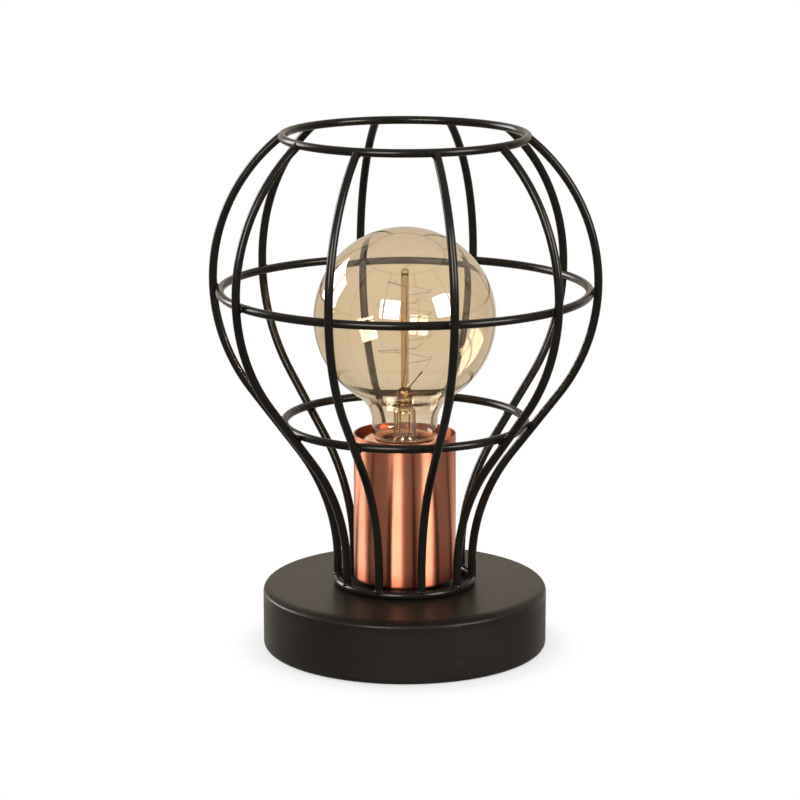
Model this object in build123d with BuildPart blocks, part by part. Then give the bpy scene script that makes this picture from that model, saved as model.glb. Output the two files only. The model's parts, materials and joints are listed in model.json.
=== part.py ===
from build123d import *
from math import acos, cos, degrees, radians, sin, sqrt
import os

os.makedirs("parts", exist_ok=True)

# Cage table lamp. Millimetres, +Z up, the front faces -Y.
# The origin is on the table, under the middle of the base.

# Fits shared by several pieces
touch = 0.05  # room left where round faces only touch, such as wire welded to wire
bolt_play = 0.25  # radial room around a rod in a plain hole
contact_gap = 0.3  # between the bulb and what it meets in the holder

# Base: a drawn steel cover with a turned-in hem, glued on a soft pad
base_radius = 74.7
base_top = 34.5
base_sheet = 1.2
base_edge = 4.5  # rounding of the upper edge
base_heel = 3.0  # rounding of the lower edge
hem_width = 12.0
pad_thickness = 0.5
pad_inset = 4.5  # edge of the pad inside the edge of the base

# Cord inlet in the back of the base
inlet_height = 13.0
inlet_hole_radius = 5.0
grommet_bore_radius = 3.25
grommet_flange_radius = 7.0
grommet_flange = 2.0
grommet_lip_radius = 6.2
grommet_lip = 2.0

# Wire cage
wire_radius = 2.0
rib_count = 10
first_rib = -76.0  # direction of the first rib, in degrees from +X
foot_ring_radius = 35.5
lower_ring_radius = 63.0
top_ring_radius = 63.0
cage_radius = 100.0  # middle of the wire where the ribs are widest
widest_height = 195.5
bulge_radius = 96.0
foot_rise = 9.0  # upright end of a rib above the foot ring
flare_angle = 37.5  # how far the ribs lean out above the foot
middle_ring_drop = 4.5  # middle ring below the widest point
strap_width = 20.0
strap_thickness = 3.0

# Copper cup around the lampholder
cup_radius = 26.8
cup_wall = 0.8
cup_height = 77.5
cup_edge = 1.5

# Threaded nipple that clamps base, cage and cup
nipple_radius = 5.0
nipple_bore_radius = 3.75
nipple_overhang = 2.0
nut_across_flats = 14.0
nut_thickness = 4.0
washer_radius = 9.0
washer_thickness = 1.0

# Bracket between nipple and lampholder
bracket_width = 14.0
bracket_sheet = 1.5
bracket_half_span = 11.0  # to the inside of each leg
bracket_ear = 9.0
bracket_rise = 18.0
bracket_bend = 2.0
ear_screw_radius = 1.5
ear_screw_place = 16.5
ear_screw_depth = 7.0
screw_head = 2.0

# Porcelain lampholder for a 27 mm screw cap
holder_below_rim = 3.0
holder_radius = 22.3
holder_waist_radius = 20.5
holder_waist_height = 26.0
holder_edge = 2.0
holder_floor = 6.0
terminal_pocket = (16.0, 32.0)
terminal_place = 9.0
terminal_screw_radius = 1.6
terminal_head_radius = 3.0
terminal_plate = (7.0, 8.0, 0.8)
shell_sheet = 0.4
shell_seat = 0.55  # radial room around the shell
shell_top_below = 7.0
shell_tab_width = 7.0
leaf_width = 6.0
leaf_sheet = 0.5
leaf_reach = 3.0
leaf_room = 3.7  # between the floor of the bore and the tip of the bulb

# Globe bulb, 95 mm across and 140 mm long
globe_radius = 47.5
neck_radius = 17.2
neck_fillet = 17.0
neck_length = 5.1  # straight part of the neck
neck_above_cap = 1.0
neck_sink = 0.3  # how far the glass dips into the holder's mouth
neck_tail = 6.0
neck_play = 0.3  # radial room between the glass and the cap
glass_wall = 0.9
cap_radius = 13.1
cap_sheet = 0.3
cap_length = 27.0
thread_play = 0.4  # radial room between the cap and the threaded shell
cap_cone = 3.0
insulator_start = 1.4
insulator_height = 4.6
insulator_radius = 11.0
tip_radius = 4.7
tip_edge = 1.2

# Glass stem and filament inside the bulb, heights from the tip of the bulb
stem_foot = 24.0
stem_tube_radius = 5.8
stem_wall = 1.0
stem_shoulder = 46.0
pinch_width = 7.6
pinch_thickness = 3.6
pinch_top = 55.5
rod_radius = 1.85
rod_end = 6.8  # rod above the winding
lead_radius = 0.35
lead_offset = 2.45
lead_bottom = 9.0
lead_reach = 9.0
lead_tip = 64.0
support_count = 14
supports_per_turn = 4
support_radius = 0.2
support_reach = 14.5
support_rise = 1.2
support_hook = 1.4
first_support = 20.0  # direction of the lowest support, in degrees from +X
winding_bottom = 68.5
winding_pitch = 12.0
filament_radius = 0.12


def upright(direction):
    """Vertical plane through the lamp's axis: x runs outwards, y runs up."""
    outwards = Vector(1, 0, 0).rotate(Axis.Z, direction)
    return Plane((0, 0, 0), x_dir=outwards, z_dir=outwards.cross(Vector(0, 0, 1)))


def save(node, piece):
    piece.part.label = node
    export_step(piece.part, f"parts/{node}.step")


# Heights that follow from the stack on the base
wire = 2 * wire_radius
foot_ring_height = base_top + wire_radius + touch
cup_bottom = base_top + strap_thickness
cup_rim = cup_bottom + cup_height
bracket_bottom = cup_bottom + cup_wall
holder_bottom = bracket_bottom + bracket_rise
holder_top = cup_rim - holder_below_rim
nipple_hole = nipple_radius + bolt_play
tip = holder_top - neck_sink - neck_above_cap - cap_length
bore_floor = tip - leaf_room
shell_radius = cap_radius + thread_play
holder_bore_radius = shell_radius + shell_sheet + shell_seat

# Rib line: upright foot, flare, straight lean, bulge, all tangent to each other
bulge_centre = cage_radius - bulge_radius
lean_sin = sin(radians(flare_angle))
lean_cos = cos(radians(flare_angle))
lean_top_radius = bulge_centre + bulge_radius * lean_cos
lean_top_height = widest_height - bulge_radius * lean_sin
flare_start = foot_ring_height + foot_rise
lean_back = (lean_top_height - flare_start) * lean_sin - (lean_top_radius - foot_ring_radius) * lean_cos
flare_radius = lean_back / (1 - lean_cos)
top_turn = degrees(acos((top_ring_radius - bulge_centre) / bulge_radius))
top_ring_height = widest_height + bulge_radius * sin(radians(top_turn))

# The middle and lower rings lie against the inside of the ribs
ring_step = wire + touch
middle_ring_height = widest_height - middle_ring_drop
middle_ring_radius = bulge_centre + sqrt((bulge_radius - ring_step) ** 2 - middle_ring_drop**2)
lower_ring_climb = (lean_top_radius - lower_ring_radius - ring_step * lean_cos) / lean_sin
lower_ring_height = lean_top_height - lower_ring_climb * lean_cos + ring_step * lean_sin


# Base cover: one sheet drawn down from the top, round the edge and in along the hem
with BuildPart() as base_cover:
    with BuildSketch(Plane.XZ):
        with BuildLine():
            half_sheet = base_sheet / 2
            FilletPolyline(
                (nipple_hole, base_top - half_sheet),
                (base_radius - half_sheet, base_top - half_sheet),
                (base_radius - half_sheet, pad_thickness + half_sheet),
                (base_radius - hem_width, pad_thickness + half_sheet),
                radius=[base_edge - half_sheet, base_heel - half_sheet],
            )
        trace(line_width=base_sheet)
    revolve(axis=Axis.Z)
    with Locations(Plane((0, base_radius, inlet_height), z_dir=(0, 1, 0))):
        Hole(inlet_hole_radius, 2 * base_sheet)
save("base_cover", base_cover)

with BuildPart() as base_pad:
    with BuildSketch():
        Circle(base_radius - pad_inset)
    extrude(amount=pad_thickness)
save("base_pad", base_pad)

# Grommet: flange outside the wall, lip inside it
lip_face = sqrt((base_radius - base_sheet) ** 2 - grommet_lip_radius**2) - touch
with BuildPart() as cord_grommet:
    with BuildSketch(Plane((0, base_radius + touch, inlet_height), z_dir=(0, 1, 0))):
        Circle(grommet_flange_radius)
    extrude(amount=grommet_flange)
    chamfer(cord_grommet.edges().sort_by(Axis.Y)[-1], grommet_flange / 3)
    with BuildSketch(Plane((0, lip_face - grommet_lip, inlet_height), z_dir=(0, 1, 0))):
        Circle(grommet_lip_radius)
    extrude(amount=grommet_lip)
    with BuildSketch(Plane((0, lip_face, inlet_height), z_dir=(0, 1, 0))):
        Circle(inlet_hole_radius - touch)
    extrude(amount=base_radius + touch - lip_face)
    with Locations(Plane((0, base_radius, inlet_height), z_dir=(0, 1, 0))):
        Hole(grommet_bore_radius)
save("cord_grommet", cord_grommet)


def wire_ring(node, radius, height):
    with BuildPart() as ring:
        with BuildSketch(Plane.XZ):
            with Locations((radius, height)):
                Circle(wire_radius)
        revolve(axis=Axis.Z)
    save(node, ring)


wire_ring("foot_ring", foot_ring_radius, foot_ring_height)
wire_ring("lower_ring", lower_ring_radius, lower_ring_height)
wire_ring("middle_ring", middle_ring_radius, middle_ring_height)
wire_ring("top_ring", top_ring_radius, top_ring_height)

# Ribs: one bent wire each, both ends coped to sit on the rings
for index in range(rib_count):
    with BuildPart() as cage_rib:
        with BuildLine(upright(first_rib + index * 360 / rib_count)):
            foot = Line((foot_ring_radius, foot_ring_height), (foot_ring_radius, flare_start))
            flare = JernArc(foot @ 1, (0, 1), flare_radius, -flare_angle)
            lean = Line(flare @ 1, (lean_top_radius, lean_top_height))
            bulge = JernArc(lean @ 1, (lean_sin, lean_cos), bulge_radius, flare_angle + top_turn)
        with BuildSketch(Plane(foot @ 0, z_dir=foot % 0)):
            Circle(wire_radius)
        sweep()
        with Locations((0, 0, foot_ring_height)):
            Torus(foot_ring_radius, wire_radius + touch, mode=Mode.SUBTRACT)
        with Locations((0, 0, top_ring_height)):
            Torus(top_ring_radius, wire_radius + touch, mode=Mode.SUBTRACT)
    save(f"cage_rib_{index + 1:02d}", cage_rib)

# Strap across the foot ring, clamped under the cup
with BuildPart() as foot_strap:
    with BuildSketch(Plane.XY.offset(base_top)):
        Circle(foot_ring_radius - wire_radius - touch)
        Rectangle(strap_width, 2 * foot_ring_radius, mode=Mode.INTERSECT)
    extrude(amount=strap_thickness)
    with Locations((0, 0, cup_bottom)):
        Hole(nipple_hole)
save("foot_strap", foot_strap)

# Copper cup: one thin sheet, drawn up from the floor to the rim
with BuildPart() as socket_cup:
    with BuildSketch(Plane.XZ):
        with BuildLine():
            half_wall = cup_wall / 2
            FilletPolyline(
                (nipple_hole, cup_bottom + half_wall),
                (cup_radius - half_wall, cup_bottom + half_wall),
                (cup_radius - half_wall, cup_rim),
                radius=cup_edge - half_wall,
            )
        trace(line_width=cup_wall)
    revolve(axis=Axis.Z)
save("socket_cup", socket_cup)

# Clamping stack on the nipple
lower_washer_bottom = base_top - base_sheet - washer_thickness
lower_nut_bottom = lower_washer_bottom - nut_thickness
upper_washer_bottom = bracket_bottom + bracket_sheet
upper_nut_bottom = upper_washer_bottom + washer_thickness
nipple_bottom = lower_nut_bottom - nipple_overhang
nipple_top = upper_nut_bottom + nut_thickness + nipple_overhang

with BuildPart() as threaded_nipple:
    with BuildSketch(Plane.XY.offset(nipple_bottom)):
        Circle(nipple_radius)
        Circle(nipple_bore_radius, mode=Mode.SUBTRACT)
    extrude(amount=nipple_top - nipple_bottom)
save("threaded_nipple", threaded_nipple)

with BuildPart() as nipple_nuts:
    for height in (lower_nut_bottom, upper_nut_bottom):
        with BuildSketch(Plane.XY.offset(height)):
            RegularPolygon(nut_across_flats / 2, 6, major_radius=False)
            Circle(nipple_radius + touch, mode=Mode.SUBTRACT)
        extrude(amount=nut_thickness)
save("nipple_nuts", nipple_nuts)

with BuildPart() as nipple_washers:
    for height in (lower_washer_bottom, upper_washer_bottom):
        with BuildSketch(Plane.XY.offset(height)):
            Circle(washer_radius)
            Circle(nipple_hole, mode=Mode.SUBTRACT)
        extrude(amount=washer_thickness)
save("nipple_washers", nipple_washers)

# Bracket: bent strip with two ears under the porcelain
with BuildPart() as holder_bracket:
    with BuildSketch(Plane.XZ):
        with BuildLine():
            leg = bracket_half_span + bracket_sheet / 2
            low = bracket_bottom + bracket_sheet / 2
            high = holder_bottom - bracket_sheet / 2
            ear = leg + bracket_ear
            FilletPolyline(
                (-ear, high),
                (-leg, high),
                (-leg, low),
                (leg, low),
                (leg, high),
                (ear, high),
                radius=bracket_bend,
            )
        trace(line_width=bracket_sheet)
    extrude(amount=bracket_width / 2, both=True)
    with Locations((0, 0, upper_washer_bottom)):
        Hole(nipple_hole, bracket_sheet)
    with Locations((-ear_screw_place, 0, holder_bottom), (ear_screw_place, 0, holder_bottom)):
        Hole(ear_screw_radius + bolt_play, bracket_sheet)
save("holder_bracket", holder_bracket)

with BuildPart() as bracket_screws:
    for side in (-1, 1):
        with BuildSketch(Plane((side * ear_screw_place, 0, holder_bottom - bracket_sheet - screw_head))):
            Circle(2 * ear_screw_radius)
        extrude(amount=screw_head)
        with BuildSketch(Plane((side * ear_screw_place, 0, holder_bottom - bracket_sheet))):
            Circle(ear_screw_radius)
        extrude(amount=bracket_sheet + ear_screw_depth)
save("bracket_screws", bracket_screws)

# Porcelain body: turned outline, bore from above, terminal pocket from below
pocket_roof = bore_floor - holder_floor
waist = holder_bottom + holder_waist_height
with BuildPart() as holder_body:
    with BuildSketch(Plane.XZ):
        with BuildLine():
            Polyline(
                (0, holder_bottom),
                (holder_waist_radius, holder_bottom),
                (holder_waist_radius, waist),
                (holder_radius, waist + holder_edge),
                (holder_radius, holder_top),
                (0, holder_top),
                close=True,
            )
        make_face()
    revolve(axis=Axis.Z)
    fillet(holder_body.edges().group_by(Axis.Z)[-1], holder_edge)
    with Locations((0, 0, holder_top)):
        Hole(holder_bore_radius, holder_top - bore_floor)
    chamfer(holder_body.edges().group_by(Axis.Z)[-1].sort_by(SortBy.LENGTH)[0], holder_edge / 2)
    with BuildSketch(Plane.XY.offset(holder_bottom)):
        RectangleRounded(*terminal_pocket, holder_edge)
    extrude(amount=pocket_roof - holder_bottom, mode=Mode.SUBTRACT)
    with Locations((-ear_screw_place, 0, holder_bottom), (ear_screw_place, 0, holder_bottom)):
        Cylinder(
            ear_screw_radius + touch,
            ear_screw_depth + holder_edge,
            align=(Align.CENTER, Align.CENTER, Align.MIN),
            mode=Mode.SUBTRACT,
        )
    with Locations((0, -terminal_place, bore_floor), (0, terminal_place, bore_floor)):
        Hole(terminal_screw_radius + bolt_play, holder_floor)
save("holder_body", holder_body)

# Threaded shell: sleeve with one tab on the floor of the bore
with BuildPart() as screw_shell:
    with BuildSketch(Plane.XY.offset(bore_floor)):
        Circle(shell_radius + shell_sheet)
        Circle(shell_radius, mode=Mode.SUBTRACT)
    extrude(amount=holder_top - shell_top_below - bore_floor)
    with BuildSketch(Plane.XY.offset(bore_floor)):
        with Locations((0, terminal_place - shell_tab_width / 2)):
            Rectangle(shell_tab_width, shell_radius, align=(Align.CENTER, Align.MIN))
        Circle(shell_radius + shell_sheet / 2, mode=Mode.INTERSECT)
    extrude(amount=shell_sheet)
    with Locations((0, terminal_place, bore_floor + shell_sheet)):
        Hole(terminal_screw_radius + touch, shell_sheet)
save("screw_shell", screw_shell)

# Centre contact: sprung leaf that rises to the tip of the bulb
with BuildPart() as centre_contact:
    with BuildSketch(Plane.YZ):
        with BuildLine():
            low = bore_floor + leaf_sheet / 2
            high = tip - contact_gap - leaf_sheet / 2
            FilletPolyline(
                (-terminal_place - leaf_width / 2, low),
                (-terminal_place + leaf_width / 2, low),
                (-leaf_reach, high),
                (leaf_reach, high),
                radius=2 * leaf_sheet,
            )
        trace(line_width=leaf_sheet)
    extrude(amount=leaf_width / 2, both=True)
    with Locations((0, -terminal_place, bore_floor + leaf_sheet)):
        Hole(terminal_screw_radius + touch, leaf_sheet)
save("centre_contact", centre_contact)

plate_bottom = pocket_roof - terminal_plate[2]
with BuildPart() as terminal_plates:
    for side in (-1, 1):
        with BuildSketch(Plane((0, side * terminal_place, plate_bottom))):
            Rectangle(terminal_plate[0], terminal_plate[1])
            Circle(terminal_screw_radius + touch, mode=Mode.SUBTRACT)
        extrude(amount=terminal_plate[2])
save("terminal_plates", terminal_plates)

with BuildPart() as terminal_screws:
    for side in (-1, 1):
        with BuildSketch(Plane((0, side * terminal_place, plate_bottom - screw_head))):
            Circle(terminal_head_radius)
        extrude(amount=screw_head)
        with BuildSketch(Plane((0, side * terminal_place, plate_bottom))):
            Circle(terminal_screw_radius)
        extrude(amount=bore_floor + 2 * leaf_sheet - plate_bottom)
save("terminal_screws", terminal_screws)

# Bulb glass: globe, waist and neck turned in one line, then shelled from the end of the neck
neck_bottom = tip + cap_length + neck_above_cap
neck_end = neck_bottom - neck_tail
neck_end_radius = cap_radius - cap_sheet - neck_play
shoulder = neck_radius - neck_end_radius
waist_place = neck_radius + neck_fillet
waist_reach = globe_radius + neck_fillet
waist_height = neck_bottom + shoulder + neck_length
waist_turn = degrees(acos(waist_place / waist_reach))
globe_centre = waist_height + sqrt(waist_reach**2 - waist_place**2)
with BuildPart() as bulb_glass:
    with BuildSketch(Plane.XZ):
        with BuildLine():
            globe = CenterArc((0, globe_centre), globe_radius, 90, -90 - waist_turn)
            CenterArc((waist_place, waist_height), neck_fillet, 180 - waist_turn, waist_turn)
            Line((neck_radius, waist_height), (neck_radius, neck_bottom + shoulder))
            curl = CenterArc((neck_end_radius, neck_bottom + shoulder), shoulder, 0, -90)
            Polyline(curl @ 1, (neck_end_radius, neck_end), (0, neck_end), globe @ 0)
        make_face()
    revolve(axis=Axis.Z)
    offset(amount=-glass_wall, openings=bulb_glass.faces().sort_by(Axis.Z)[0])
save("bulb_glass", bulb_glass)

# Screw cap of the bulb, with its black insulator and contact tip
insulator_bottom = tip + insulator_start
insulator_top = insulator_bottom + insulator_height
with BuildPart() as bulb_cap:
    with BuildSketch(Plane.XZ):
        with BuildLine():
            middle = cap_radius - cap_sheet / 2
            Polyline(
                (insulator_radius, insulator_top + cap_sheet),
                (middle, insulator_top + cap_cone),
                (middle, tip + cap_length),
            )
        trace(line_width=cap_sheet)
    revolve(axis=Axis.Z)
save("bulb_cap", bulb_cap)

with BuildPart() as cap_insulator:
    with BuildSketch(Plane.XZ):
        with BuildLine():
            Polyline(
                (0, insulator_bottom),
                (tip_radius + insulator_start, insulator_bottom),
                (insulator_radius, insulator_top - insulator_start),
                (insulator_radius, insulator_top),
                (0, insulator_top),
                close=True,
            )
        make_face()
    revolve(axis=Axis.Z)
save("cap_insulator", cap_insulator)

with BuildPart() as bulb_contact:
    with BuildSketch(Plane.XY.offset(tip)):
        Circle(tip_radius)
    extrude(amount=insulator_start)
    chamfer(bulb_contact.edges().group_by(Axis.Z)[0], tip_edge)
save("bulb_contact", bulb_contact)

# Glass stem: flared tube, pressed pinch and rod
stem_rim = neck_end_radius - glass_wall - touch
flare_top = tip + stem_foot + stem_rim - stem_tube_radius
tube_top = tip + stem_shoulder
winding_top = winding_bottom + winding_pitch * support_count / supports_per_turn + support_rise
press_top = tube_top + stem_wall + pinch_thickness / 2
with BuildPart() as bulb_stem:
    with BuildSketch(Plane.XZ):
        with BuildLine():
            Polyline(
                (stem_rim, tip + stem_foot),
                (stem_tube_radius, flare_top),
                (stem_tube_radius, tube_top),
                (pinch_thickness / 2, press_top),
                (0, press_top),
                (0, tube_top - stem_wall),
                (stem_tube_radius - stem_wall, tube_top - stem_wall),
                (stem_tube_radius - stem_wall, flare_top),
                (stem_rim - stem_wall, tip + stem_foot),
                close=True,
            )
        make_face()
    revolve(axis=Axis.Z)
    with BuildSketch(Plane.XY.offset(tube_top)):
        RectangleRounded(pinch_width, pinch_thickness, pinch_thickness / 3)
    extrude(amount=pinch_top - stem_shoulder)
    with BuildSketch(Plane.XY.offset(tip + pinch_top)):
        Circle(rod_radius)
    extrude(amount=winding_top + rod_end - pinch_top)
    chamfer(bulb_stem.edges().group_by(Axis.Z)[-1], rod_radius / 2)
    with Locations((-lead_offset, 0, tip + pinch_top), (lead_offset, 0, tip + pinch_top)):
        Hole(lead_radius + touch, pinch_top - stem_shoulder + stem_wall)
save("bulb_stem", bulb_stem)


def bent_wires(node, radius, runs):
    """One node of separate bent wires, each through its own points."""
    with BuildPart() as wires:
        for points in runs:
            with BuildLine():
                run = Polyline(*points)
            with BuildSketch(Plane(run @ 0, z_dir=run % 0)):
                Circle(radius)
            sweep(transition=Transition.RIGHT)
    save(node, wires)


# Lead wires: a short one to the start of the winding, a long one beside the rod to its end
short_elbow = Vector(lead_offset, 0, tip + pinch_top + lead_radius)
short_tip = Vector(lead_reach, 0, tip + lead_tip)
short_lead = [Vector(lead_offset, 0, tip + lead_bottom), short_elbow, short_tip]
long_elbow = Vector(-lead_offset, 0, tip + winding_top - lead_offset)
long_tip = Vector(-lead_reach, 0, tip + winding_top)
long_lead = [Vector(-lead_offset, 0, tip + lead_bottom), long_elbow, long_tip]
bent_wires("lead_wires", lead_radius, [short_lead, long_lead])

# Supports stand out from the rod, and the filament goes round outside their upturned ends
turn_step = 360 / supports_per_turn
corner_room = (support_radius + filament_radius + touch) / cos(radians(turn_step / 2))
lead_room = Vector(0, 0, lead_radius + filament_radius + touch)
supports = []
corners = [short_tip + lead_room]
for index in range(support_count):
    side = Vector(1, 0, 0).rotate(Axis.Z, first_support + turn_step * index)
    root = side * (rod_radius + touch)
    root += Vector(0, 0, tip + winding_bottom + winding_pitch * index / supports_per_turn)
    elbow = root + side * (support_reach - rod_radius) + Vector(0, 0, support_rise)
    supports.append([root, elbow, elbow + Vector(0, 0, support_hook)])
    corners.append(elbow + side * corner_room + Vector(0, 0, support_hook / 2))
corners.append(long_tip + lead_room)
bent_wires("filament_supports", support_radius, supports)
bent_wires("filament", filament_radius, [corners])

# Least room between two turns of the filament, from points along it
marks = 20
trail = [a + (b - a) * (step / marks) for a, b in zip(corners, corners[1:]) for step in range(marks)]
lap = marks * (supports_per_turn - 1)
room = min((p - q).length for i, p in enumerate(trail) for q in trail[i + lap :])
print("least gap between filament turns, mm:", round(room - 2 * filament_radius, 2))
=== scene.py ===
import json
from math import cos, pi, radians, sin, tan, tau

import bmesh
import bpy
from mathutils import Matrix, Vector, noise


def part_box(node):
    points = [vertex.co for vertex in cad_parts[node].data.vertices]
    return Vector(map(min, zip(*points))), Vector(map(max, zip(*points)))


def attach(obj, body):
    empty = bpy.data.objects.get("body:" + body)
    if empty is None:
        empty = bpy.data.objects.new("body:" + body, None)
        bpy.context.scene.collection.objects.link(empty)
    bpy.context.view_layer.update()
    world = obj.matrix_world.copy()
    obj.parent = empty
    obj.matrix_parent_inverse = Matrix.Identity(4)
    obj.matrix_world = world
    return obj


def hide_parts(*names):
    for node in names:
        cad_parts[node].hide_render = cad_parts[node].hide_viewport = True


# Looks of the cage table lamp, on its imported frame. Metres, +Z up, the front faces -Y.
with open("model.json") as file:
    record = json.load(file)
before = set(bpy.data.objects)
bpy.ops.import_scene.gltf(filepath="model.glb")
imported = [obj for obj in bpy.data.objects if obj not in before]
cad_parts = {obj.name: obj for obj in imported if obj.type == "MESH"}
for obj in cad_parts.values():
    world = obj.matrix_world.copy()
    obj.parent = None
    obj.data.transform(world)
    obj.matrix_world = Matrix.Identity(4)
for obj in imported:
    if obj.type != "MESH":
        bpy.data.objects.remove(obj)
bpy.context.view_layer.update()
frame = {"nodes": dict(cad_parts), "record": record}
nodes = frame["nodes"]
mm = 0.001


# Shader building blocks

def add(tree, kind, values=None, **settings):
    """One shader node, with its unlinked inputs and its settings."""
    node = tree.nodes.new("ShaderNode" + kind)
    for name, value in settings.items():
        setattr(node, name, value)
    for name, value in (values or {}).items():
        node.inputs[name].default_value = value
    return node


def new_group(name, inputs, outputs):
    """An empty node group with number inputs and number outputs."""
    tree = bpy.data.node_groups.new(name, "ShaderNodeTree")
    for label, value in inputs.items():
        socket = tree.interface.new_socket(label, in_out="INPUT", socket_type="NodeSocketFloat")
        socket.default_value = value
    for label in outputs:
        tree.interface.new_socket(label, in_out="OUTPUT", socket_type="NodeSocketFloat")
    return tree, tree.nodes.new("NodeGroupInput"), tree.nodes.new("NodeGroupOutput")


def coat_group():
    """Sprayed or glazed skin: fine peel, broad patches and a few specks of dust."""
    tree, given, made = new_group(
        "coat_skin",
        {"Peel Scale": 900, "Patch Scale": 30, "Speck Scale": 160, "Speck Size": 0.06},
        ("Peel", "Patch", "Specks"),
    )
    place = add(tree, "TexCoord").outputs["Object"]
    peel = add(tree, "TexNoise", {"Detail": 3, "Roughness": 0.55})
    patch = add(tree, "TexNoise", {"Detail": 4, "Roughness": 0.6, "Distortion": 0.4})
    speck = add(tree, "TexVoronoi", {"Randomness": 1})
    sparse = add(tree, "TexWhiteNoise")
    near = add(tree, "Math", operation="LESS_THAN")
    few = add(tree, "Math", {1: 0.8}, operation="GREATER_THAN")
    both = add(tree, "Math", operation="MULTIPLY")
    link = tree.links.new
    for texture, scale in ((peel, "Peel Scale"), (patch, "Patch Scale"), (speck, "Speck Scale")):
        link(place, texture.inputs["Vector"])
        link(given.outputs[scale], texture.inputs["Scale"])
    link(speck.outputs["Position"], sparse.inputs["Vector"])
    link(speck.outputs["Distance"], near.inputs[0])
    link(given.outputs["Speck Size"], near.inputs[1])
    link(sparse.outputs["Value"], few.inputs[0])
    link(near.outputs[0], both.inputs[0])
    link(few.outputs[0], both.inputs[1])
    link(peel.outputs["Fac"], made.inputs["Peel"])
    link(patch.outputs["Fac"], made.inputs["Patch"])
    link(both.outputs[0], made.inputs["Specks"])
    return tree


def brushed_group():
    """Fine lines left round a turned piece, with slow changes along and around it."""
    tree, given, made = new_group(
        "brushed_round", {"Line Scale": 2600, "Patch Scale": 40}, ("Lines", "Patch")
    )
    place = add(tree, "TexCoord").outputs["Object"]
    squeeze = add(tree, "Mapping", {"Scale": (0.012, 0.012, 1)})
    lines = add(tree, "TexNoise", {"Detail": 4, "Roughness": 0.7})
    patch = add(tree, "TexNoise", {"Detail": 3, "Roughness": 0.5})
    link = tree.links.new
    link(place, squeeze.inputs["Vector"])
    link(squeeze.outputs["Vector"], lines.inputs["Vector"])
    link(given.outputs["Line Scale"], lines.inputs["Scale"])
    link(place, patch.inputs["Vector"])
    link(given.outputs["Patch Scale"], patch.inputs["Scale"])
    link(lines.outputs["Fac"], made.inputs["Lines"])
    link(patch.outputs["Fac"], made.inputs["Patch"])
    return tree


def height_group():
    """A mask that is 1 at the low height and fades out up to the high one."""
    tree, given, made = new_group("height_mask", {"Low": 0, "High": 1}, ("Mask",))
    place = add(tree, "TexCoord")
    parts = add(tree, "SeparateXYZ")
    mask = add(tree, "MapRange", interpolation_type="SMOOTHSTEP")
    link = tree.links.new
    link(place.outputs["Object"], parts.inputs["Vector"])
    link(parts.outputs["Z"], mask.inputs["Value"])
    link(given.outputs["High"], mask.inputs["From Min"])
    link(given.outputs["Low"], mask.inputs["From Max"])
    link(mask.outputs["Result"], made.inputs["Mask"])
    return tree


def reach_group():
    """A mask that is 1 near the lamp's axis and fades out from the inner to the outer radius."""
    tree, given, made = new_group("reach_mask", {"Inner": 0, "Outer": 1}, ("Mask",))
    place = add(tree, "TexCoord")
    flat = add(tree, "VectorMath", {1: (1, 1, 0)}, operation="MULTIPLY")
    reach = add(tree, "VectorMath", operation="LENGTH")
    mask = add(tree, "MapRange")
    link = tree.links.new
    link(place.outputs["Object"], flat.inputs[0])
    link(flat.outputs["Vector"], reach.inputs[0])
    link(reach.outputs["Value"], mask.inputs["Value"])
    link(given.outputs["Outer"], mask.inputs["From Min"])
    link(given.outputs["Inner"], mask.inputs["From Max"])
    link(mask.outputs["Result"], made.inputs["Mask"])
    return tree


coat_skin = coat_group()
brushed_round = brushed_group()
height_mask = height_group()
reach_mask = reach_group()


def new_material(name, plain):
    """A material with one main shader, and the values that are the same all over it."""
    material = bpy.data.materials.new(name)
    material.use_nodes = True
    tree = material.node_tree
    shader = tree.nodes["Principled BSDF"]
    for label, value in plain.items():
        shader.inputs[label].default_value = value
    return material, tree, shader


def place_group(tree, group, values):
    """A node group placed in a material with its own values."""
    node = add(tree, "Group", node_tree=group)
    for label, value in values.items():
        node.inputs[label].default_value = value
    return node


def spread(tree, source, low, high, target, span=(0.3, 0.7)):
    """Leads a 0 to 1 pattern to a number input, from low to high."""
    ramp = add(tree, "MapRange", {"From Min": span[0], "From Max": span[1], "To Min": low, "To Max": high})
    tree.links.new(source, ramp.inputs["Value"])
    tree.links.new(ramp.outputs["Result"], target)


def tint(tree, source, dark, light, span=(0.3, 0.7)):
    """A colour between dark and light, by a 0 to 1 pattern."""
    ramp = add(tree, "ValToRGB")
    for element, place, colour in zip(ramp.color_ramp.elements, span, (dark, light)):
        element.position = place
        element.color = (*colour, 1)
    tree.links.new(source, ramp.inputs["Fac"])
    return ramp.outputs["Color"]


def over(tree, under, above, mask):
    """One plain colour laid over another colour where the mask is 1."""
    mix = add(tree, "Mix", data_type="RGBA")
    mix.inputs["B"].default_value = (*above, 1)
    tree.links.new(mask, mix.inputs["Factor"])
    tree.links.new(under, mix.inputs["A"])
    return mix.outputs["Result"]


def within(tree, radius, soft):
    """A mask of what lies nearer to the lamp's axis than a radius."""
    return place_group(tree, reach_mask, {"Inner": radius - soft, "Outer": radius + soft}).outputs["Mask"]


def facing_in(tree):
    """A mask of the faces that look towards the lamp's axis."""
    place = add(tree, "TexCoord")
    flat = add(tree, "VectorMath", {1: (1, 1, 0)}, operation="MULTIPLY")
    turn = add(tree, "VectorMath", operation="DOT_PRODUCT")
    mask = add(tree, "Math", {1: 0}, operation="LESS_THAN")
    tree.links.new(place.outputs["Object"], flat.inputs[0])
    tree.links.new(flat.outputs["Vector"], turn.inputs[0])
    tree.links.new(place.outputs["Normal"], turn.inputs[1])
    tree.links.new(turn.outputs["Value"], mask.inputs[0])
    return mask.outputs[0]


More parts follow.
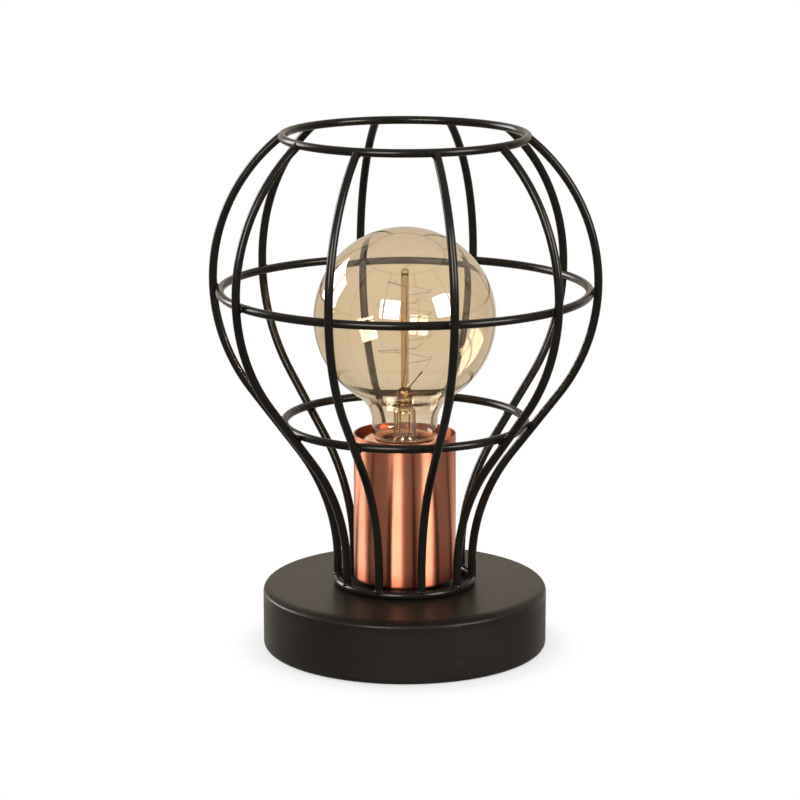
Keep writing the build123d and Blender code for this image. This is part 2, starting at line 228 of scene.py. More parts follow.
def below(tree, low, high):
    """A mask of what lies below the low height, fading out up to the high one."""
    return place_group(tree, height_mask, {"Low": low, "High": high}).outputs["Mask"]


def crisp_edge(tree, low, high):
    """The surface's direction, turned over an upper edge as on a tighter rounding than the drawn one."""
    place = add(tree, "TexCoord")
    parts = add(tree, "SeparateXYZ")
    lean = add(tree, "MapRange", {"From Min": low, "From Max": high})
    flat = add(tree, "VectorMath", {1: (1, 1, 0)}, operation="MULTIPLY")
    side = add(tree, "VectorMath", operation="NORMALIZE")
    turned = add(tree, "Mix", data_type="VECTOR")
    turned.inputs["B"].default_value = (0, 0, 1)
    upper = add(tree, "Math", {1: 0}, operation="GREATER_THAN")
    pick = add(tree, "Mix", data_type="VECTOR")
    outward = add(tree, "VectorTransform", vector_type="NORMAL", convert_from="OBJECT", convert_to="WORLD")
    link = tree.links.new
    link(place.outputs["Normal"], parts.inputs["Vector"])
    link(place.outputs["Normal"], flat.inputs[0])
    link(flat.outputs["Vector"], side.inputs[0])
    link(parts.outputs["Z"], lean.inputs["Value"])
    link(parts.outputs["Z"], upper.inputs[0])
    link(lean.outputs["Result"], turned.inputs["Factor"])
    link(side.outputs["Vector"], turned.inputs["A"])
    link(upper.outputs[0], pick.inputs["Factor"])
    link(place.outputs["Normal"], pick.inputs["A"])
    link(turned.outputs["Result"], pick.inputs["B"])
    link(pick.outputs["Result"], outward.inputs["Vector"])
    return outward.outputs["Vector"]


def dent(tree, source, shader, strength, depth):
    """Fine relief of the surface."""
    bump = add(tree, "Bump", {"Strength": strength, "Distance": depth})
    tree.links.new(source, bump.inputs["Height"])
    tree.links.new(bump.outputs["Normal"], shader.inputs["Normal"])


# Finishes

warm_sheen = (1, 0.86, 0.70, 1)
dust = (0.14, 0.13, 0.12)
paint_peel_depth = 0.15 * mm


def black_coat(name, dark, light, rough, peel_scale, relief, speck_size):
    """Black stoved paint on steel."""
    material, tree, shader = new_material(name, {"Specular IOR Level": 0.25, "Specular Tint": warm_sheen})
    values = {"Peel Scale": peel_scale, "Patch Scale": 26, "Speck Size": speck_size}
    skin = place_group(tree, coat_skin, values)
    colour = tint(tree, skin.outputs["Patch"], dark, light)
    dusty = over(tree, colour, dust, skin.outputs["Specks"])
    tree.links.new(dusty, shader.inputs["Base Color"])
    spread(tree, skin.outputs["Patch"], rough[0], rough[1], shader.inputs["Roughness"])
    dent(tree, skin.outputs["Peel"], shader, relief, paint_peel_depth)
    return material


def base_coat(top):
    """The base's paint: a crisp upper edge, and a little duller down its side."""
    edge_foot = top - 4 * mm
    side_top = top - 9 * mm
    side_dullness = 0.1
    edge_lean = (0.1, 0.65)  # slope of the drawn edge where the crisp one starts and ends
    material = black_coat(
        "base_black", (0.0105, 0.0082, 0.0058), (0.0155, 0.0122, 0.0088), (0.33, 0.38), 1900, 0.03, 0.05
    )
    tree = material.node_tree
    shader = tree.nodes["Principled BSDF"]
    shine = shader.inputs["Roughness"].links[0].from_socket
    peel = shader.inputs["Normal"].links[0].from_node
    side = below(tree, side_top, edge_foot)
    duller = add(tree, "Math", {1: side_dullness}, operation="MULTIPLY_ADD")
    link = tree.links.new
    link(side, duller.inputs[0])
    link(shine, duller.inputs[2])
    link(duller.outputs[0], shader.inputs["Roughness"])
    link(crisp_edge(tree, *edge_lean), peel.inputs["Normal"])
    return material


def copper_plate(cup_radius, foot):
    """Copper plated steel, brushed round and lacquered outside, with painted shade making it darker at its
    foot and inside.
    """
    painted_foot_shade = (foot - 3 * mm, foot + 11 * mm)
    inner_radius = cup_radius - 0.4 * mm
    plain = {"Metallic": 1, "Anisotropic": 1, "Anisotropic Rotation": 0.25}
    plain.update({"Coat Weight": 0.1, "Coat Roughness": 0.12})
    material, tree, shader = new_material("copper_plate", plain)
    lines = place_group(tree, brushed_round, {"Line Scale": 3200, "Patch Scale": 35})
    skin = place_group(tree, coat_skin, {"Speck Scale": 260, "Speck Size": 0.05})
    colour = tint(tree, lines.outputs["Patch"], (0.75, 0.24, 0.118), (0.82, 0.29, 0.152))
    # Painted shade: the cup's foot is darkened where it mirrors the black top of the base.
    colour = over(tree, colour, (0.42, 0.095, 0.04), below(tree, *painted_foot_shade))
    # Painted shade: the inside of the cup, lying in the shade of its hollow, is darker and redder.
    colour = over(tree, colour, (0.5, 0.115, 0.035), within(tree, inner_radius, 0.1 * mm))
    spotted = over(tree, colour, (0.35, 0.13, 0.07), skin.outputs["Specks"])
    tree.links.new(spotted, shader.inputs["Base Color"])
    spread(tree, lines.outputs["Lines"], 0.335, 0.365, shader.inputs["Roughness"])
    dent(tree, lines.outputs["Lines"], shader, 0.03, 0.02 * mm)
    around = add(tree, "Tangent", direction_type="RADIAL", axis="Z")
    tree.links.new(around.outputs["Tangent"], shader.inputs["Tangent"])
    return material


def plain_metal(name, dark, light, rough, lines_scale, inner=None):
    """Bare or plated metal with the marks of its making, in another colour inside where one is given."""
    material, tree, shader = new_material(name, {"Metallic": 1})
    lines = place_group(tree, brushed_round, {"Line Scale": lines_scale, "Patch Scale": 90})
    colour = tint(tree, lines.outputs["Patch"], dark, light)
    # The inside colour, where one is given, is painted shade on the faces turned towards the axis.
    if inner:
        colour = over(tree, colour, inner, facing_in(tree))
    tree.links.new(colour, shader.inputs["Base Color"])
    spread(tree, lines.outputs["Lines"], rough[0], rough[1], shader.inputs["Roughness"])
    dent(tree, lines.outputs["Lines"], shader, 0.15, 0.02 * mm)
    return material


def glazed_porcelain(mouth_radius):
    """Cream glaze, with painted shade in the mouth of the holder, where it is dark brown."""
    material, tree, shader = new_material("glazed_porcelain", {"Coat Weight": 0.5, "Coat Roughness": 0.08})
    skin = place_group(tree, coat_skin, {"Peel Scale": 350, "Patch Scale": 60, "Speck Scale": 500})
    colour = tint(tree, skin.outputs["Patch"], (0.70, 0.54, 0.37), (0.80, 0.66, 0.48))
    # Painted shade: the porcelain within the mouth radius is darkened to a warm brown.
    colour = over(tree, colour, (0.62, 0.22, 0.08), within(tree, mouth_radius, 0.3 * mm))
    spotted = over(tree, colour, (0.3, 0.2, 0.12), skin.outputs["Specks"])
    tree.links.new(spotted, shader.inputs["Base Color"])
    spread(tree, skin.outputs["Patch"], 0.22, 0.36, shader.inputs["Roughness"])
    dent(tree, skin.outputs["Peel"], shader, 0.06, 0.1 * mm)
    return material


def soft_black(name, light, rough, peel_scale, relief):
    """Rubber or foam."""
    material, tree, shader = new_material(name, {"Specular IOR Level": 0.25})
    skin = place_group(tree, coat_skin, {"Peel Scale": peel_scale, "Patch Scale": 60, "Speck Scale": 300})
    dark = tuple(share * 0.5 for share in light)
    colour = tint(tree, skin.outputs["Peel"], dark, light)
    dusty = over(tree, colour, (0.12, 0.12, 0.11), skin.outputs["Specks"])
    tree.links.new(dusty, shader.inputs["Base Color"])
    spread(tree, skin.outputs["Patch"], rough[0], rough[1], shader.inputs["Roughness"])
    dent(tree, skin.outputs["Peel"], shader, relief, 0.4 * mm)
    return material


def tinted_glass(name, haze, index, heights, painted_rim_shade, edge_from):
    """Glass tinted by height, with painted shade in another colour where it is seen edge on. Lamps shine
    through it.
    """
    plain = {"Transmission Weight": 1 - haze, "Roughness": 0, "IOR": index}
    material, tree, shader = new_material(name, plain)
    place = add(tree, "SeparateXYZ")
    low = heights[0][0]
    high = heights[-1][0]
    rise = add(tree, "MapRange", {"From Min": low, "From Max": high})
    streaks = add(tree, "TexNoise", {"Scale": 45, "Detail": 2})
    where = add(tree, "TexCoord").outputs["Object"]
    shade = add(tree, "ValToRGB")
    shade.color_ramp.interpolation = "EASE"
    while len(shade.color_ramp.elements) < len(heights):
        shade.color_ramp.elements.new(0.5)
    for element, (height, colour) in zip(shade.color_ramp.elements, heights):
        element.position = (height - low) / (high - low)
        element.color = (*colour, 1)
    uneven = add(tree, "Mix", {"Factor": 0.06}, data_type="RGBA", blend_type="SOFT_LIGHT")
    slant = add(tree, "LayerWeight", {"Blend": 0.5})
    rim = add(tree, "MapRange", {"From Min": edge_from, "From Max": 1})
    # Painted shade: the darker rims that refraction shows where the glass is seen edge on.
    edge = add(tree, "Mix", data_type="RGBA")
    edge.inputs["B"].default_value = (*painted_rim_shade, 1)
    link = tree.links.new
    link(where, place.inputs["Vector"])
    link(place.outputs["Z"], rise.inputs["Value"])
    link(rise.outputs["Result"], shade.inputs["Fac"])
    link(where, streaks.inputs["Vector"])
    link(shade.outputs["Color"], uneven.inputs["A"])
    link(streaks.outputs["Color"], uneven.inputs["B"])
    link(slant.outputs["Facing"], rim.inputs["Value"])
    link(rim.outputs["Result"], edge.inputs["Factor"])
    link(uneven.outputs["Result"], edge.inputs["A"])
    link(edge.outputs["Result"], shader.inputs["Base Color"])
    light = add(tree, "LightPath")
    clear = add(tree, "BsdfTransparent", {"Color": (*heights[-1][1], 1)})
    pick = add(tree, "MixShader")
    link(light.outputs["Is Shadow Ray"], pick.inputs["Fac"])
    link(shader.outputs["BSDF"], pick.inputs[1])
    link(clear.outputs["BSDF"], pick.inputs[2])
    link(pick.outputs["Shader"], tree.nodes["Material Output"].inputs["Surface"])
    return material


def pinch_blotches(material, low, high):
    """Dark brown blotches over the stem's pinch."""
    tree = material.node_tree
    glass = tree.nodes["Principled BSDF"].inputs["Base Color"]
    marks = add(tree, "TexNoise", {"Scale": 620, "Detail": 2, "Distortion": 1.2})
    sharp = add(tree, "MapRange", {"From Min": 0.5, "From Max": 0.6})
    band = add(tree, "Math", operation="SUBTRACT")
    mask = add(tree, "Math", operation="MULTIPLY")
    link = tree.links.new
    link(add(tree, "TexCoord").outputs["Object"], marks.inputs["Vector"])
    link(marks.outputs["Fac"], sharp.inputs["Value"])
    link(below(tree, high, high + 2 * mm), band.inputs[0])
    link(below(tree, low - 1 * mm, low + 1 * mm), band.inputs[1])
    link(sharp.outputs["Result"], mask.inputs[0])
    link(band.outputs[0], mask.inputs[1])
    link(over(tree, glass.links[0].from_socket, (0.52, 0.23, 0.065), mask.outputs[0]), glass)


def filament_wire_finish():
    """Dull carbon."""
    material, tree, shader = new_material("carbon_wire", {"Specular IOR Level": 0.4})
    skin = place_group(tree, coat_skin, {"Peel Scale": 2500, "Patch Scale": 400})
    colour = tint(tree, skin.outputs["Patch"], (0.03, 0.02, 0.012), (0.09, 0.06, 0.035))
    tree.links.new(colour, shader.inputs["Base Color"])
    spread(tree, skin.outputs["Peel"], 0.45, 0.7, shader.inputs["Roughness"])
    return material


cup_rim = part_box("socket_cup")[1].z
globe_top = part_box("bulb_glass")[1].z
globe_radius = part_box("bulb_glass")[1].x
globe_middle = globe_top - globe_radius
bulb_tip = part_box("bulb_contact")[0].z
pinch_low = bulb_tip + 46 * mm
pinch_high = bulb_tip + 55 * mm
globe_tints = (
    (bulb_tip + 27.5 * mm, (0.62, 0.36, 0.20)),  # brown cement shows through the end of the neck
    (bulb_tip + 30 * mm, (0.74, 0.52, 0.33)),
    (bulb_tip + 32.5 * mm, (0.89, 0.82, 0.705)),
    (cup_rim + 8 * mm, (0.865, 0.765, 0.615)),
    (globe_middle, (0.85, 0.735, 0.57)),
)
stem_tints = (
    (bulb_tip + 26 * mm, (0.70, 0.42, 0.22)),
    (bulb_tip + 31 * mm, (0.93, 0.89, 0.76)),
    (pinch_low - 2 * mm, (0.92, 0.86, 0.68)),
    (pinch_low + 1 * mm, (0.90, 0.74, 0.38)),
    (pinch_high, (0.88, 0.70, 0.36)),
    (pinch_high + 3 * mm, (0.68, 0.52, 0.29)),
)
# Radius of the holder's mouth, inside which the porcelain carries painted shade.
mouth_radius = 16 * mm
# Painted shade for the inner faces of the bulb's cap, deep in the holder's mouth.
cap_inside_shade = (0.5, 0.2, 0.08)
finishes = {
    "black_steel": black_coat(
        "wire_black", (0.008, 0.0066, 0.005), (0.0125, 0.0103, 0.008), (0.19, 0.25), 1500, 0.04, 0.015
    ),
    "foam_pad": soft_black("foam_pad", (0.03, 0.03, 0.03), (0.8, 0.95), 1600, 0.6),
    "grommet_rubber": soft_black("grommet_rubber", (0.02, 0.02, 0.02), (0.5, 0.65), 900, 0.15),
    "copper": copper_plate(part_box("socket_cup")[1].x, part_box("socket_cup")[0].z),
    "zinc_steel": plain_metal("zinc_steel", (0.5, 0.5, 0.49), (0.66, 0.66, 0.64), (0.25, 0.42), 1500),
    "porcelain": glazed_porcelain(mouth_radius),
    "contact_brass": plain_metal("contact_brass", (0.62, 0.44, 0.19), (0.78, 0.6, 0.3), (0.2, 0.36), 1800),
    "amber_glass": tinted_glass("amber_glass", 0.01, 1.56, globe_tints, (0.72, 0.62, 0.48), 0.45),
    "stem_glass": tinted_glass("stem_glass", 0.02, 1.55, stem_tints, (0.15, 0.075, 0.022), 0.3),
    "cap_metal": plain_metal(
        "cap_metal", (0.66, 0.63, 0.57), (0.8, 0.77, 0.71), (0.18, 0.3), 1800, cap_inside_shade
    ),
    "cap_black": soft_black("cap_black", (0.02, 0.02, 0.022), (0.12, 0.2), 500, 0.05),
    "solder": plain_metal("solder", (0.42, 0.42, 0.43), (0.58, 0.58, 0.58), (0.32, 0.5), 700),
    "lead_metal": plain_metal("lead_metal", (0.09, 0.05, 0.03), (0.19, 0.115, 0.07), (0.3, 0.45), 3000),
    "carbon": filament_wire_finish(),
}
pinch_blotches(finishes["stem_glass"], pinch_low, pinch_high)
for subpart in frame["record"]["subparts"]:
    nodes[subpart["node"]].material_slots[0].material = finishes[subpart["material_slot"]]
nodes["base_cover"].material_slots[0].material = base_coat(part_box("base_cover")[1].z)


# Own pieces

def finish_piece(name, mesh, slot, body, replaced=()):
    """Makes a mesh a piece of the lamp: its finish, the body it rides on, the nodes it stands for."""
    bmesh.ops.recalc_face_normals(mesh, faces=mesh.faces[:])
    for face in mesh.faces:
        face.smooth = True
    data = bpy.data.meshes.new(name)
    mesh.to_mesh(data)
    mesh.free()
    piece = bpy.data.objects.new(name, data)
    bpy.context.scene.collection.objects.link(piece)
    data.materials.append(finishes[slot])
    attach(piece, body)
    if replaced:
        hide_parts(*replaced)
    return piece


def ring_line(node):
    """Radius and height of the middle of a wire ring, and the radius of its wire."""
    low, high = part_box(node)
    wire = (high.z - low.z) / 2
    return high.x - wire, (low.z + high.z) / 2, wire


rib_count = 10
first_rib = radians(-76)
bead_roughness = 0.14
seam_length = 3.2 * mm
seam_swelling = 1.12
paint_thickness = 0.18 * mm


def bead(mesh, place, turn, tilt, size, unevenness=bead_roughness):
    """One lump of weld metal or glass, a little uneven."""
    spot = Matrix.Translation(place) @ Matrix.Rotation(turn, 4, "Z") @ Matrix.Rotation(tilt, 4, "Y")
    lump = bmesh.ops.create_icosphere(mesh, subdivisions=3, radius=1)["verts"]
    for vert in lump:
        vert.co *= 1 + unevenness * noise.noise(vert.co * 1.7 + place * 400)
        vert.co = spot @ Vector((vert.co.x * size[0], vert.co.y * size[1], vert.co.z * size[2]))


def welds(name, node, inset, rise, tilt, size):
    """Welds where the ribs meet one ring."""
    radius, height, _ = ring_line(node)
    mesh = bmesh.new()
    for index in range(rib_count):
        turn = first_rib + index * tau / rib_count
        reach = radius + inset
        bead(mesh, Vector((reach * cos(turn), reach * sin(turn), height + rise)), turn, tilt, size)
    finish_piece(name, mesh, "black_steel", "lamp")


welds("foot_ring_welds", "foot_ring", 0, 1.9 * mm, 0, (2.35 * mm, 2.9 * mm, 1.0 * mm))
welds("top_ring_welds", "top_ring", 1.2 * mm, -1.5 * mm, radians(-52), (1.0 * mm, 2.7 * mm, 2.3 * mm))
welds("middle_ring_welds", "middle_ring", 2.0 * mm, 0, 0, (0.9 * mm, 2.5 * mm, 2.5 * mm))
welds("lower_ring_welds", "lower_ring", 1.6 * mm, -1.2 * mm, radians(37), (0.9 * mm, 2.5 * mm, 2.5 * mm))


def ring_seams():
    """Each ring is closed by a butt weld, a slight swelling of the wire."""
    mesh = bmesh.new()
    for node, turn in (("middle_ring", 39), ("lower_ring", 57), ("top_ring", 122), ("foot_ring", 86)):
        radius, height, wire = ring_line(node)
        turn = radians(turn)
        place = Vector((radius * cos(turn), radius * sin(turn), height))
        bead(mesh, place, turn, 0, (wire * seam_swelling, seam_length, wire * seam_swelling))
    finish_piece("ring_seams", mesh, "black_steel", "lamp")


ring_seams()

# Stoved paint lies thick on the wires
wires = ["foot_ring", "lower_ring", "middle_ring", "top_ring"]
wires += [f"cage_rib_{index + 1:02d}" for index in range(rib_count)]
for wire_node in wires:
    paint = nodes[wire_node].modifiers.new("paint", "DISPLACE")
    paint.strength = paint_thickness
    paint.mid_level = 0


def lathe(mesh, outline, steps=64):
    """Turns an open outline of (radius, height) points round the axis."""
    line = [mesh.verts.new((radius, 0, height)) for radius, height in outline]
    edges = [mesh.edges.new(pair) for pair in zip(line, line[1:])]
    bmesh.ops.spin(
        mesh, geom=line + edges, cent=(0, 0, 0), axis=(0, 0, 1), angle=tau, steps=steps, use_merge=True
    )


def rolled_thread():
    """Screw cap of the bulb, rolled from thin sheet, with its round thread."""
    low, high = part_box("bulb_cap")
    crest = high.x
    root = crest - 1.0 * mm
    inch = 25.4 * mm
    pitch = inch / 7
    per_turn = 48
    turns = 5
    thread_low = low.z + 1.6 * mm
    wave = 10
    mesh = bmesh.new()
    rise = [pitch * index / wave for index in range(wave + 1)]
    swell = [root + (crest - root) * (1 - cos(tau * z / pitch)) / 2 for z in rise]
    line = [mesh.verts.new((radius, 0, thread_low + z)) for radius, z in zip(swell, rise)]
    edges = [mesh.edges.new(pair) for pair in zip(line, line[1:])]
    bmesh.ops.spin(
        mesh,
        geom=line + edges,
        cent=(0, 0, 0),
        axis=(0, 0, 1),
        dvec=(0, 0, pitch / per_turn),
        angle=tau * turns,
        steps=per_turn * turns,
    )
    bmesh.ops.remove_doubles(mesh, verts=mesh.verts[:], dist=0.01 * mm)
    top = max(vert.co.z for vert in mesh.verts)
    for vert in mesh.verts:
        fade = min(1, (vert.co.z - thread_low) / pitch, (top - vert.co.z) / pitch)
        flat = vert.co.xy.length
        vert.co.xy *= (root + (flat - root) * max(0, fade)) / flat
    foot_radius = 11.2 * mm
    skirt_low = high.z - 4.6 * mm
    skirt_full = high.z - 3.6 * mm
    collar = [(root, thread_low + pitch / 2), (root, low.z + 1.2 * mm), (foot_radius, low.z)]
    skirt = [(root, top - pitch / 2), (root, skirt_low), (crest, skirt_full), (crest, high.z)]
    for outline in (collar, skirt):
        lathe(mesh, outline)
    piece = finish_piece("rolled_cap", mesh, "cap_metal", "bulb", ["bulb_cap"])
    sheet = piece.modifiers.new("sheet", "SOLIDIFY")
    sheet.thickness = 0.25 * mm
    sheet.offset = -1


rolled_thread()

# Inside of the bulb, heights from its tip
stem_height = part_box("bulb_stem")[1].z - bulb_tip
support_count = 14
supports_per_turn = 4
first_support = radians(20)
winding_bottom = 68.5 * mm
winding_pitch = 12 * mm
support_reach = 14.5 * mm
support_rise = 1.2 * mm
support_hook = 1.4 * mm
support_radius = 0.11 * mm
filament_radius = 0.075 * mm
span_sag = 0.7 * mm
lead_reach = 9 * mm
lead_tip = 64 * mm
lead_radius = 0.34 * mm
thin_lead_radius = 0.2 * mm
sealed_lead_radius = 0.6 * mm
clamp_radius = 0.5 * mm
support_root = 1.55 * mm
lump_roughness = 0.4
small_lumps = 13
small_lump_turn = 2.4


def inside(x, y, height):
    """A place in the bulb, in millimetres, with its height above the tip."""
    return Vector((x * mm, y * mm, bulb_tip + height * mm))


def blown_stem():
    """Flared tube with soft shoulders, the squeezed pinch with its lumps, and the rod."""
    mesh = bmesh.new()
    tube = [(11.5, 24), (9.3, 25), (7.5, 26.6), (6.4, 28.6), (5.85, 31.4), (5.8, 42.6), (5.6, 44.3)]
    tube += [(5, 45.7), (4, 46.8), (2.6, 47.5), (1.2, 47.8), (0, 47.9)]
    hollow = [(0, 46.7), (1.9, 46.4), (3.4, 45.7), (4.4, 44.7), (4.85, 43.2), (4.9, 42), (4.95, 31)]
    hollow += [(5.5, 28.7), (6.6, 26.9), (8.4, 25.4), (10.6, 24)]
    rod_top = stem_height / mm
    rod = [(0, 53.5), (1.7, 54), (2, 55), (1.98, 62), (1.98, rod_top - 2.4), (2.1, rod_top - 1.4)]
    rod += [(1.8, rod_top - 0.4), (0.9, rod_top), (0, rod_top)]
    for outline in (tube + hollow + tube[:1], rod):
        lathe(mesh, [(radius * mm, bulb_tip + height * mm) for radius, height in outline], 48)
    bmesh.ops.remove_doubles(mesh, verts=mesh.verts[:], dist=0.01 * mm)
    lumps = (
        (inside(0, 0, 50.8), (3.8, 1.9, 4.9)),
        (inside(-2.8, -0.2, 51.6), (1.5, 1.3, 2.6)),
        (inside(2.6, 0, 49.8), (1.4, 1.2, 2.2)),
        (inside(-1.3, -0.6, 54.6), (1.3, 1.1, 1.5)),
        (inside(1.6, -0.4, 54.9), (1.1, 1.0, 1.3)),
        (inside(-3.3, 0.2, 48.2), (1.3, 1.2, 1.4)),
    )
    for place, size in lumps:
        bead(mesh, place, 0, 0, [length * mm for length in size], lump_roughness)
    for index in range(small_lumps):
        turn = index * small_lump_turn
        place = inside(3.1 * cos(turn), 1.5 * sin(turn), 47.6 + index * 7.6 / small_lumps)
        bead(mesh, place, turn, 0, [(0.75 + 0.3 * noise.noise(place * 3000)) * mm] * 3)
    return finish_piece("blown_stem", mesh, "stem_glass", "bulb", ["bulb_stem"])


def support_direction(index):
    """The way one support points from the rod, and its height as a vector."""
    turn = first_support + index * tau / supports_per_turn
    height = bulb_tip + winding_bottom + winding_pitch * index / supports_per_turn
    return Vector((cos(turn), sin(turn), 0)), Vector((0, 0, height))


def wire_mesh(lines, radius, mesh=None):
    """Thin round wires. Each line is a list of places, each with the handles before and after it."""
    curve = bpy.data.curves.new("wire_line", "CURVE")
    curve.dimensions = "3D"
    curve.bevel_depth = radius
    curve.bevel_resolution = 1
    curve.resolution_u = 6
    for line in lines:
        spline = curve.splines.new("BEZIER")
        spline.bezier_points.add(len(line) - 1)
        for point, (place, before, after) in zip(spline.bezier_points, line):
            point.co = place
            point.handle_left = before
            point.handle_right = after
    holder = bpy.data.objects.new("wire_line", curve)
    mesh = mesh or bmesh.new()
    mesh.from_mesh(bpy.data.meshes.new_from_object(holder))
    bpy.data.objects.remove(holder)
    return mesh


def bent(*places):
    """A line of straight runs through these places."""
    line = []
    for index, place in enumerate(places):
        before = places[max(index - 1, 0)]
        after = places[min(index + 1, len(places) - 1)]
        line.append((place, place.lerp(before, 0.2), place.lerp(after, 0.2)))
    return line


def drawn_leads():
    """Stout leads, thickest in the pinch. The short one slants out to a clamp, the long one is thin."""
    short = bent(inside(2.45, 0, 9), inside(2.45, 0, 55.9), inside(9, 0, 64))
    long_foot = bent(inside(-2.45, 0, 9), inside(-2.45, 0, 54), inside(-1.1, -1.7, 57))
    long_top = bent(
        inside(-1.1, -1.7, 56.8),
        inside(0.1, -2.15, 65),
        inside(1, -2.1, 104),
        inside(0.4, -2.2, 109.6),
        inside(-9, 0, 111.7),
    )
    sealed = [bent(inside(x, -0.5, 48.6), inside(x, -0.5, 54.2)) for x in (-2.45, 2.45)]
    clamp = bent(inside(7.4, 0, 62.02), inside(9, 0, 64))
    mesh = wire_mesh([short, long_foot], lead_radius)
    wire_mesh([long_top], thin_lead_radius, mesh)
    wire_mesh(sealed, sealed_lead_radius, mesh)
    wire_mesh([clamp], clamp_radius, mesh)
    finish_piece("drawn_leads", mesh, "lead_metal", "bulb", ["lead_wires"])


def support_wires():
    """Thin wires out of the rod, curled up at their ends, and the small hook on top of the rod."""
    lines = []
    lift = Vector((0, 0, 1))
    for index in range(support_count):
        out, height = support_direction(index)
        root = out * support_root + height
        elbow = out * support_reach + height + lift * support_rise
        tip = elbow + lift * support_hook
        knee = elbow - out * 0.8 * mm
        lines.append([
            (root, root, root.lerp(knee, 0.4) - lift * 0.3 * mm),
            (knee, root.lerp(knee, 0.8) - lift * 0.3 * mm, elbow),
            (tip, elbow + out * 0.3 * mm, tip),
        ])
    rod_top = stem_height / mm
    base = inside(0.5, 0, rod_top - 0.1)
    bend = inside(1.2, 0, rod_top + 1.6)
    end = inside(3.4, -0.4, rod_top + 2.6)
    lines.append([
        (base, base, base.lerp(bend, 0.6)),
        (bend, bend - lift * 0.6 * mm, bend + lift * 0.5 * mm),
        (end, end, end),
    ])
    mesh = wire_mesh(lines, support_radius)
    finish_piece("support_wires", mesh, "lead_metal", "bulb", ["filament_supports"])


def filament_wire():
    """One thin wire hung over the upturned ends of the supports, with a slight sag in each span."""
    reach = support_reach + 0.3 * mm
    turns = support_count / supports_per_turn
    hooks = [Vector((lead_reach, 0, bulb_tip + lead_tip + 0.5 * mm))]
    for index in range(support_count):
        out, height = support_direction(index)
        hooks.append(out * reach + height + Vector((0, 0, support_rise + 0.7 * mm)))
    winding_top = winding_bottom + winding_pitch * turns + support_rise
    hooks.append(Vector((-lead_reach, 0, bulb_tip + winding_top + 0.5 * mm)))
    droop = Vector((0, 0, span_sag))
    line = []
    for index, hook in enumerate(hooks):
        before = hooks[max(index - 1, 0)]
        after = hooks[min(index + 1, len(hooks) - 1)]
        line.append((hook, hook + (before - hook) / 3 - droop, hook + (after - hook) / 3 - droop))
    finish_piece("filament_wire", wire_mesh([line], filament_radius), "carbon", "bulb", ["filament"])


stem = blown_stem()
drawn_leads()
support_wires()
filament_wire()


# Stage: pale floor that fades into a white room, three windows, camera

def stage_floor():
    """Pale floor that keeps the lamp's shadow near its base and clears away round it."""
    floor_radius = 0.6
    shade = {"From Min": 0.072, "From Max": 0.095, "To Min": 0.68}
    mesh = bmesh.new()
    bmesh.ops.create_circle(mesh, cap_ends=True, segments=96, radius=floor_radius)
    data = bpy.data.meshes.new("floor")
    mesh.to_mesh(data)
    mesh.free()
    floor = bpy.data.objects.new("floor", data)
    bpy.context.scene.collection.objects.link(floor)
    material, tree, shader = new_material("pale_floor", {"Roughness": 0.9, "Specular IOR Level": 0})
    shader.inputs["Base Color"].default_value = (0.9, 0.9, 0.9, 1)
    centre = add(tree, "TexCoord")
    reach = add(tree, "VectorMath", operation="LENGTH")
    fade = add(tree, "MapRange", shade, interpolation_type="SMOOTHSTEP")
    away = add(tree, "BsdfTransparent")
    mix = add(tree, "MixShader")
    link = tree.links.new
    link(centre.outputs["Object"], reach.inputs[0])
    link(reach.outputs["Value"], fade.inputs["Value"])
    link(fade.outputs["Result"], mix.inputs["Fac"])
    link(shader.outputs["BSDF"], mix.inputs[1])
    link(away.outputs["BSDF"], mix.inputs[2])
    link(mix.outputs["Shader"], tree.nodes["Material Output"].inputs["Surface"])
    data.materials.append(material)


def studio_room():
    """Grey room, white behind the lamp; the camera and what shows through glass see plain white."""
    world = bpy.data.worlds.new("studio")
    bpy.context.scene.world = world
    world.use_nodes = True
    tree = world.node_tree
    room = tree.nodes["Background"]
    white = add(tree, "Background", {"Color": (1, 1, 1, 1), "Strength": 1})
    path = add(tree, "LightPath")
    straight = add(tree, "Math", {1: 0.5}, operation="LESS_THAN")
    through = add(tree, "Math", operation="MULTIPLY")
    seen = add(tree, "Math", operation="MAXIMUM")
    pick = add(tree, "MixShader")
    way = add(tree, "SeparateXYZ")
    back = add(tree, "MapRange", {"From Min": 0.45, "From Max": 0.85}, interpolation_type="SMOOTHSTEP")
    above = add(tree, "MapRange", {"From Min": 0.1, "From Max": 0.9, "To Min": 0.27, "To Max": 0.6})
    level = add(tree, "Mix", data_type="RGBA")
    level.inputs["B"].default_value = (0.74, 0.66, 0.55, 1)
    link = tree.links.new
    link(add(tree, "TexCoord").outputs["Generated"], way.inputs["Vector"])
    link(way.outputs["Y"], back.inputs["Value"])
    link(way.outputs["Z"], above.inputs["Value"])
    link(back.outputs["Result"], level.inputs["Factor"])
    link(above.outputs["Result"], level.inputs["A"])
    link(level.outputs["Result"], room.inputs["Color"])
    link(path.outputs["Glossy Depth"], straight.inputs[0])
    link(path.outputs["Is Transmission Ray"], through.inputs[0])
    link(straight.outputs[0], through.inputs[1])
    link(path.outputs["Is Camera Ray"], seen.inputs[0])
    link(through.outputs[0], seen.inputs[1])
    link(seen.outputs[0], pick.inputs["Fac"])
    link(room.outputs["Background"], pick.inputs[1])
    link(white.outputs["Background"], pick.inputs[2])
    link(pick.outputs["Shader"], tree.nodes["World Output"].inputs["Surface"])


lamp_middle = Vector((0, 0, 0.15))
window_distance = 2.6
window_bar = 0.08
pane_gap = 0.01
light_tints = {"daylight": (1, 1, 1), "glint": (0.9, 0.98, 1.12), "mirror": (0.88, 0.97, 1.2)}


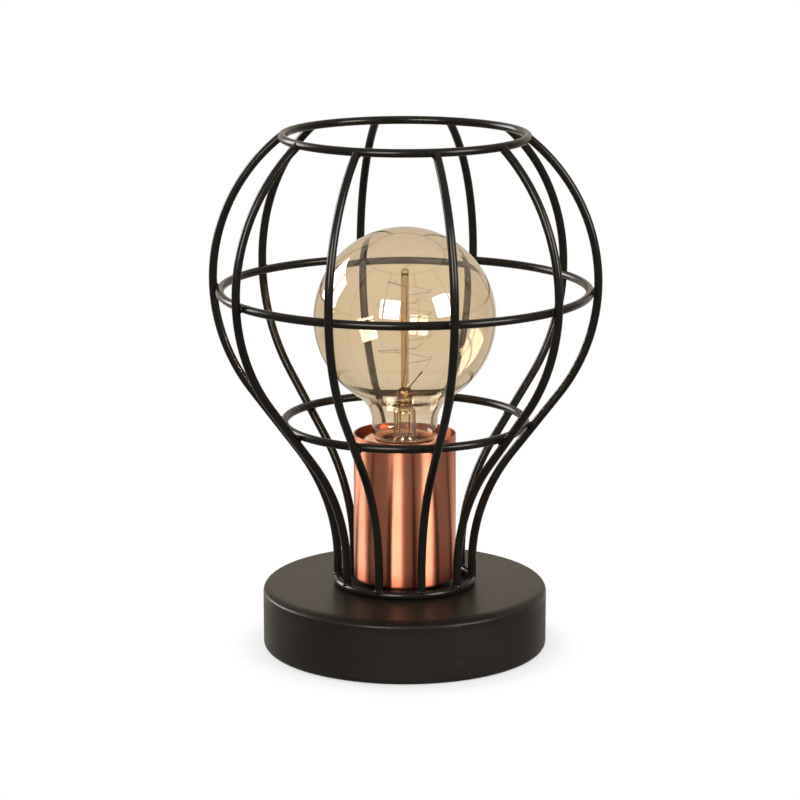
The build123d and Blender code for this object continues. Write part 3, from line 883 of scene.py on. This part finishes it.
def seen_once(light):
    """The light shows in metal, paint and glass, and not again in what those mirror of each other."""
    light.use_nodes = True
    tree = light.node_tree
    path = add(tree, "LightPath")
    first = add(tree, "Math", {1: 1.5}, operation="LESS_THAN")
    tree.links.new(path.outputs["Glossy Depth"], first.inputs[0])
    tree.links.new(first.outputs[0], tree.nodes["Emission"].inputs["Strength"])


mirrors = bpy.data.collections.new("mirrors")
mirrors.objects.link(nodes["bulb_glass"])
mirrors.objects.link(stem)


def window(name, azimuth, elevation, wide, high, columns, rows, level, glint, mirror):
    """A window of one or more panes: where it stands round the lamp and how large it looks, in degrees.

    Over its level, its glint shows in metal, paint and glass only, and its mirror part in the bulb only.
    """
    azimuth = radians(azimuth)
    elevation = radians(elevation)
    out = Vector((sin(azimuth) * cos(elevation), -cos(azimuth) * cos(elevation), sin(elevation)))
    turn = out.to_track_quat("Z", "Y")
    width = 2 * window_distance * tan(radians(wide) / 2) / columns
    height = 2 * window_distance * tan(radians(high) / 2) / rows
    bar = window_bar if columns * rows > 1 else 0
    for column in range(columns):
        for row in range(rows):
            across = (column - (columns - 1) / 2) * width
            along = (row - (rows - 1) / 2) * height
            place = lamp_middle + out * window_distance + turn @ Vector((across, along, 0))
            for share, strength in (("daylight", level), ("glint", glint), ("mirror", mirror)):
                place = place - out * pane_gap
                light = bpy.data.lights.new(f"{name}_{share}_{column}_{row}", "AREA")
                light.shape = "RECTANGLE"
                light.size = width * (1 - bar)
                light.size_y = height * (1 - bar)
                light.energy = strength * pi * light.size * light.size_y
                light.color = light_tints[share]
                seen_once(light)
                pane = bpy.data.objects.new(light.name, light)
                pane.location = place
                pane.rotation_mode = "QUATERNION"
                pane.rotation_quaternion = turn
                pane.visible_camera = False
                pane.visible_diffuse = share == "daylight"
                if share == "mirror":
                    pane.light_linking.receiver_collection = mirrors
                bpy.context.scene.collection.objects.link(pane)


def photo_camera():
    """Long lens from the front, a little above the lamp."""
    tilt = 12.65
    data = bpy.data.cameras.new("camera")
    data.sensor_width = 36
    data.lens = 139.4
    camera = bpy.data.objects.new("camera", data)
    camera.location = (-0.0025, -1.578, 0.4868)
    camera.rotation_euler = (radians(90 - tilt), 0, 0)
    bpy.context.scene.collection.objects.link(camera)
    bpy.context.scene.camera = camera


stage_floor()
studio_room()
window("front_window", -20, 20, 25, 26, 2, 2, 7, 9.5, 38)
window("right_window", 54, 20, 24, 27, 1, 1, 6, 8.5, 28)
window("left_window", -120, 17, 36, 28, 1, 1, 4, 6, 1)
photo_camera()
bpy.context.scene.view_settings.view_transform = "Standard"
